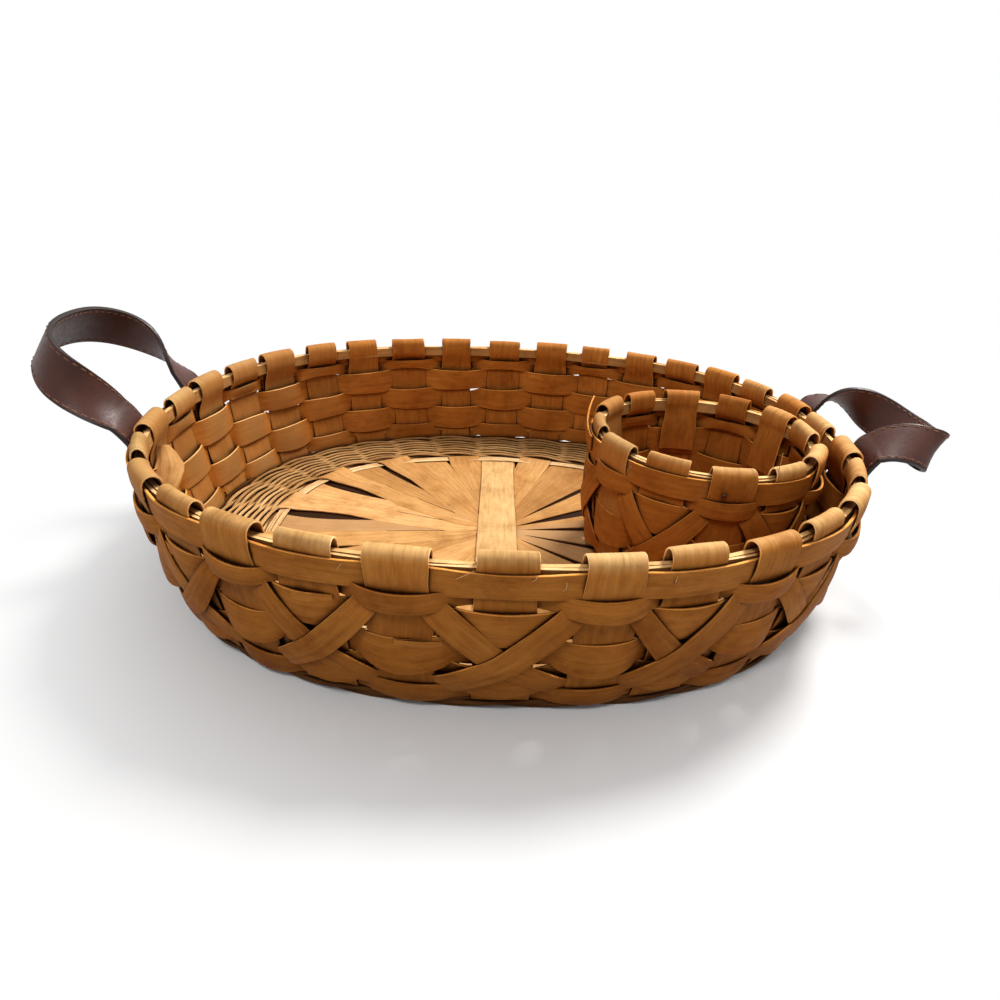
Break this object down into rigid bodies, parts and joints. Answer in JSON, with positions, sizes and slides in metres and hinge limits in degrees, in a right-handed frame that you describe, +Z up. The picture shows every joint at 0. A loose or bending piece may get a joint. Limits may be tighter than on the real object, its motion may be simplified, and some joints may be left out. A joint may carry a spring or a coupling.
{
  "type": "chip and dip basket",
  "caption": "Oval basket woven from flat wooden splints with folded rim and leather strap handles, holding a round woven dip basket that lifts out.",
  "frame": {"origin": "middle of the flat underside of the floor", "axes": "+Z up, +X towards the right handle, where the dip basket stands, -Y the near side in the picture"},
  "size_m": [0.4935, 0.3294, 0.1335],
  "materials": {
    "splint": "oiled honey-brown wood splint",
    "pale_splint": "dry pale wood splint",
    "leather": "dark reddish-brown smooth strap leather"
  },
  "bodies": {
    "basket": {"stake_00": "splint", "stake_01": "splint", "stake_02": "splint", "stake_03": "splint", "stake_04": "splint", "stake_05": "splint", "stake_06": "splint", "stake_07": "splint", "stake_08": "splint", "stake_09": "splint", "stake_10": "splint", "stake_11": "splint", "stake_12": "splint", "stake_13": "splint", "stake_14": "splint", "stake_15": "splint", "stake_16": "splint", "stake_17": "splint", "stake_18": "splint", "stake_19": "splint", "stake_20": "splint", "stake_21": "splint", "stake_22": "splint", "stake_23": "splint", "stake_24": "splint", "stake_25": "splint", "stake_26": "splint", "stake_27": "splint", "stake_28": "splint", "stake_29": "splint", "stake_30": "splint", "stake_31": "splint", "floor_lower": "pale_splint", "floor_upper": "pale_splint", "twining": "splint", "centre_strip": "pale_splint", "row_1": "splint", "row_2": "splint", "row_3": "splint", "row_4": "splint", "row_5": "splint", "rim_band": "splint", "rim_core": "pale_splint", "cross_strip_a": "splint", "cross_strip_b": "splint", "left_handle_tab_near": "leather", "left_handle_tab_far": "leather", "right_handle_tab_near": "leather", "right_handle_tab_far": "leather"},
    "dip_basket": {"dip_stakes": "splint", "dip_row_1": "splint", "dip_row_2": "splint", "dip_row_3": "splint", "dip_row_4": "splint", "dip_rim_band": "splint", "dip_rim_core": "pale_splint", "dip_cross_strip_a": "splint", "dip_cross_strip_b": "splint"},
    "left_handle": {"left_handle_loop": "leather"},
    "right_handle": {"right_handle_loop": "leather"}
  },
  "joints": [
    {"name": "dip_lift", "type": "slide", "parent": "basket", "child": "dip_basket", "axis": [0, 0, 1], "range_m": [0, 0.12]},
    {"name": "left_handle_swing", "type": "hinge", "parent": "basket", "child": "left_handle", "pos_m": [-0.19709, 0, 0.0782], "axis": [0, 1, 0], "range_deg": [-83, 15]},
    {"name": "right_handle_swing", "type": "hinge", "parent": "basket", "child": "right_handle", "pos_m": [0.19709, 0, 0.0782], "axis": [0, -1, 0], "range_deg": [-60, 20]}
  ]
}
